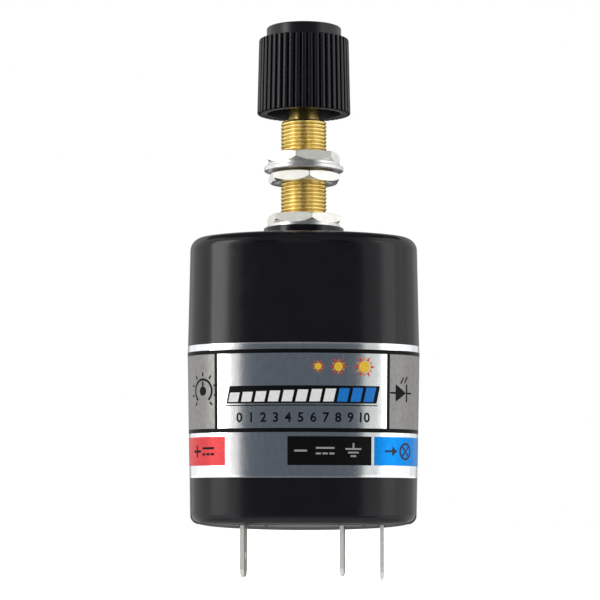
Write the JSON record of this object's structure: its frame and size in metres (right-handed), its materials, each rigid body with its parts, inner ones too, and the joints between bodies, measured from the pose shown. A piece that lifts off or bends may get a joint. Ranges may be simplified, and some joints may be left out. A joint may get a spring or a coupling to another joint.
{
  "type": "rotary led dimmer",
  "caption": "Panel-mount rotary LED dimmer: oval black case with a foil wrap label, long brass threaded bushing with nuts and washers, fluted knob, blade terminals below.",
  "frame": {"origin": "on the bushing axis, in the plane of the lower panel nut's top face, where the back of a panel seats", "axes": "+Z along the bushing towards the knob; -Y is the printed front; +X is to the right seen from the front"},
  "size_m": [0.0482, 0.029, 0.1153],
  "materials": {
    "case_black": "moulded, semi-gloss",
    "base_grey": "moulded, satin",
    "label_foil": "bright metallised foil, printed",
    "brass_turned": "turned and threaded, bright",
    "nickel_plate": "bright nickel plate",
    "washer_steel": "plated, fine turned lines",
    "knob_black": "moulded, satin, fluted",
    "tinned_blade": "dull tin over brass",
    "tinned_steel": "tinned",
    "phenolic": "paper laminate",
    "rotor_plastic": "moulded",
    "board_green": "glass laminate with solder mask",
    "chip_black": "moulded epoxy",
    "capacitor_can": "drawn can",
    "lead_black": "insulation",
    "lead_white": "insulation",
    "lead_red": "insulation"
  },
  "bodies": {
    "housing": {"upper_case": "case_black", "lower_case": "case_black", "base_plate": "base_grey", "wrap_label": "label_foil", "bushing": "brass_turned", "case_nut": "nickel_plate", "case_lock_washer": "washer_steel", "terminal_supply": "tinned_blade", "terminal_ground": "tinned_blade", "terminal_lamp": "tinned_blade", "pot_plate": "tinned_steel", "pot_can": "tinned_steel", "pot_lugs": "tinned_steel", "transistor_leads": "tinned_steel", "timer_pins": "tinned_steel", "board_screws": "tinned_steel", "pot_wafer": "phenolic", "control_board": "board_green", "terminal_board": "board_green", "power_transistor": "chip_black", "timer_chip": "chip_black", "clamp_diode": "chip_black", "chip_resistors": "chip_black", "storage_capacitor": "capacitor_can", "lead_low": "lead_black", "lead_wiper": "lead_white", "lead_high": "lead_red"},
    "knob": {"knob": "knob_black", "knob_spring": "washer_steel", "shaft": "brass_turned", "shaft_clip": "washer_steel", "pot_rotor": "rotor_plastic", "wiper_contact": "tinned_steel"},
    "washers": {"flat_washer": "washer_steel", "panel_lock_washer": "washer_steel"},
    "upper_nut": {"panel_nut_upper": "nickel_plate"},
    "lower_nut": {"panel_nut_lower": "nickel_plate"}
  },
  "joints": [
    {"name": "knob_turn", "type": "hinge", "parent": "housing", "child": "knob", "pos_m": [0, 0, 0.012], "axis": [0, 0, 1], "range_deg": [-150, 150]},
    {"name": "washer_lift", "type": "slide", "parent": "housing", "child": "washers", "axis": [0, 0, 1], "range_m": [0, 0.00635]},
    {"name": "upper_nut_turn", "type": "hinge", "parent": "washers", "child": "upper_nut", "pos_m": [0, 0, 0.002], "axis": [0, 0, 1], "range_deg": [0, 2880]},
    {"name": "lower_nut_travel", "type": "slide", "parent": "housing", "child": "lower_nut", "axis": [0, 0, 1], "range_m": [-0.006, 0]}
  ],
  "couplings": [
    {"joint": "upper_nut_turn", "follows": "washer_lift", "rad_per_m": 7915.8}
  ]
}
